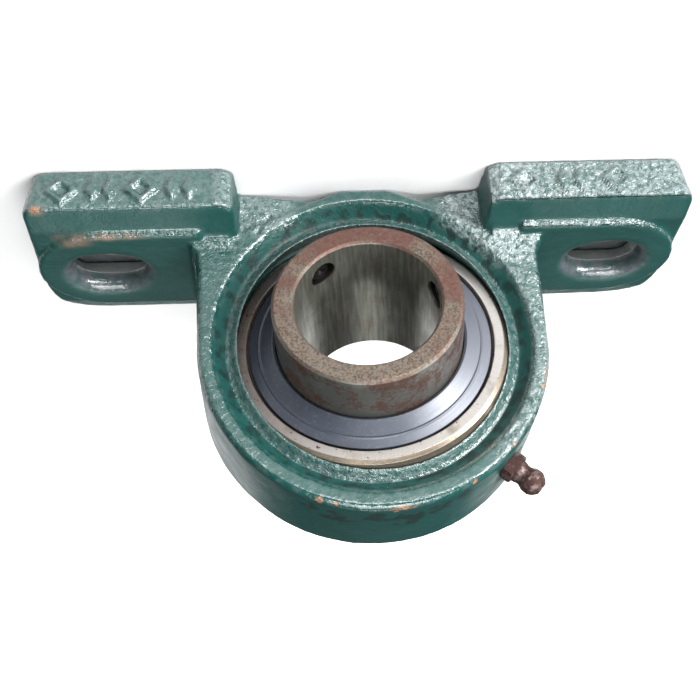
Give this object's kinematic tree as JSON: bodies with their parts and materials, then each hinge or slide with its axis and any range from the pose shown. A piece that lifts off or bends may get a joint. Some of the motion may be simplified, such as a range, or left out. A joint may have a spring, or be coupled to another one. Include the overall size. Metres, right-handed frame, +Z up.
{
  "type": "pillow block ball bearing unit",
  "caption": "Cast-iron pillow block with a wide-inner-ring, set-screw insert ball bearing for a 40 mm shaft, swivelled a little in its spherical seat.",
  "frame": {"origin": "on the bottom plane of the base, midway between the feet and midway through its width, straight under the bore centre", "axes": "+Z up from the base, +X along the base towards one bolt slot, +Y through the bore from the long side of the inner ring to the short side"},
  "size_m": [0.19, 0.0628, 0.099],
  "materials": {
    "housing_enamel": "glossy dark teal enamel brushed over rough grey-iron casting, chipped to rust at edges",
    "outer_ring_steel": "ground bearing steel, cream-grey with storage rust spots",
    "inner_ring_steel": "ground bearing steel, rust-bloomed",
    "ball_steel": "lapped",
    "cage_steel": "pressed strip, satin",
    "seal_rubber": "matt black nitrile",
    "flinger_paint": "slate-blue coated pressed steel, satin",
    "screw_steel": "black oxide",
    "nipple_steel": "plated steel, rusted purplish brown",
    "spring_steel": "drawn wire, bright"
  },
  "bodies": {
    "housing_body": {"housing": "housing_enamel", "nipple_body": "nipple_steel", "nipple_spring": "spring_steel"},
    "outer_ring_body": {"outer_ring": "outer_ring_steel", "seal_front": "seal_rubber", "seal_back": "seal_rubber"},
    "inner_ring_body": {"inner_ring": "inner_ring_steel", "flinger_front": "flinger_paint", "flinger_back": "flinger_paint"},
    "cage_body": {"cage_front": "cage_steel", "cage_back": "cage_steel", "cage_rivet_1": "cage_steel", "cage_rivet_2": "cage_steel", "cage_rivet_3": "cage_steel", "cage_rivet_4": "cage_steel", "cage_rivet_5": "cage_steel", "cage_rivet_6": "cage_steel", "cage_rivet_7": "cage_steel", "cage_rivet_8": "cage_steel", "cage_rivet_9": "cage_steel"},
    "valve_body": {"nipple_check_ball": "ball_steel"},
    "ball_1_body": {"ball_1": "ball_steel"},
    "ball_2_body": {"ball_2": "ball_steel"},
    "ball_3_body": {"ball_3": "ball_steel"},
    "ball_4_body": {"ball_4": "ball_steel"},
    "ball_5_body": {"ball_5": "ball_steel"},
    "ball_6_body": {"ball_6": "ball_steel"},
    "ball_7_body": {"ball_7": "ball_steel"},
    "ball_8_body": {"ball_8": "ball_steel"},
    "ball_9_body": {"ball_9": "ball_steel"},
    "set_screw_1_body": {"set_screw_1": "screw_steel"},
    "set_screw_2_body": {"set_screw_2": "screw_steel"}
  },
  "joints": [
    {"name": "align", "type": "hinge", "parent": "housing_body", "child": "outer_ring_body", "pos_m": [0, 0, 0.0492], "axis": [0.8829, 0, 0.4695], "range_deg": [-19, 6]},
    {"name": "shaft_spin", "type": "hinge", "parent": "outer_ring_body", "child": "inner_ring_body", "pos_m": [0, 0, 0.0492], "axis": [-0.0734, 0.9877, 0.1381], "continuous": true},
    {"name": "cage_spin", "type": "hinge", "parent": "outer_ring_body", "child": "cage_body", "pos_m": [0, 0, 0.0492], "axis": [-0.0734, 0.9877, 0.1381], "continuous": true},
    {"name": "ball_1_spin", "type": "hinge", "parent": "cage_body", "child": "ball_1_body", "pos_m": [0.00015, -0.00414, 0.07891], "axis": [-0.0734, 0.9877, 0.1381], "continuous": true},
    {"name": "ball_2_spin", "type": "hinge", "parent": "cage_body", "child": "ball_2_body", "pos_m": [-0.01911, -0.00459, 0.07186], "axis": [-0.0734, 0.9877, 0.1381], "continuous": true},
    {"name": "ball_3_spin", "type": "hinge", "parent": "cage_body", "child": "ball_3_body", "pos_m": [-0.02944, -0.00289, 0.05421], "axis": [-0.0734, 0.9877, 0.1381], "continuous": true},
    {"name": "ball_4_spin", "type": "hinge", "parent": "cage_body", "child": "ball_4_body", "pos_m": [-0.02599, 0.00016, 0.03421], "axis": [-0.0734, 0.9877, 0.1381], "continuous": true},
    {"name": "ball_5_spin", "type": "hinge", "parent": "cage_body", "child": "ball_5_body", "pos_m": [-0.01038, 0.00314, 0.02123], "axis": [-0.0734, 0.9877, 0.1381], "continuous": true},
    {"name": "ball_6_spin", "type": "hinge", "parent": "cage_body", "child": "ball_6_body", "pos_m": [0.01009, 0.00465, 0.02133], "axis": [-0.0734, 0.9877, 0.1381], "continuous": true},
    {"name": "ball_7_spin", "type": "hinge", "parent": "cage_body", "child": "ball_7_body", "pos_m": [0.02583, 0.00398, 0.03448], "axis": [-0.0734, 0.9877, 0.1381], "continuous": true},
    {"name": "ball_8_spin", "type": "hinge", "parent": "cage_body", "child": "ball_8_body", "pos_m": [0.02949, 0.00145, 0.05451], "axis": [-0.0734, 0.9877, 0.1381], "continuous": true},
    {"name": "ball_9_spin", "type": "hinge", "parent": "cage_body", "child": "ball_9_body", "pos_m": [0.01935, -0.00176, 0.07206], "axis": [-0.0734, 0.9877, 0.1381], "continuous": true},
    {"name": "set_screw_1_slide", "type": "slide", "parent": "inner_ring_body", "child": "set_screw_1_body", "axis": [-0.5891, -0.1547, 0.7931], "range_m": [0, 0.004]},
    {"name": "set_screw_2_slide", "type": "slide", "parent": "inner_ring_body", "child": "set_screw_2_body", "axis": [0.9474, 0.0258, 0.3191], "range_m": [0, 0.004]},
    {"name": "nipple_valve", "type": "slide", "parent": "housing_body", "child": "valve_body", "axis": [0.7314, 0, -0.682], "range_m": [0, 0.0006], "stiffness_N_per_m": 500}
  ],
  "couplings": [
    {"joint": "cage_spin", "follows": "shaft_spin", "ratio": 0.40083},
    {"joint": "ball_1_spin", "follows": "shaft_spin", "ratio": -2.4218},
    {"joint": "ball_2_spin", "follows": "shaft_spin", "ratio": -2.4218},
    {"joint": "ball_3_spin", "follows": "shaft_spin", "ratio": -2.4218},
    {"joint": "ball_4_spin", "follows": "shaft_spin", "ratio": -2.4218},
    {"joint": "ball_5_spin", "follows": "shaft_spin", "ratio": -2.4218},
    {"joint": "ball_6_spin", "follows": "shaft_spin", "ratio": -2.4218},
    {"joint": "ball_7_spin", "follows": "shaft_spin", "ratio": -2.4218},
    {"joint": "ball_8_spin", "follows": "shaft_spin", "ratio": -2.4218},
    {"joint": "ball_9_spin", "follows": "shaft_spin", "ratio": -2.4218}
  ]
}
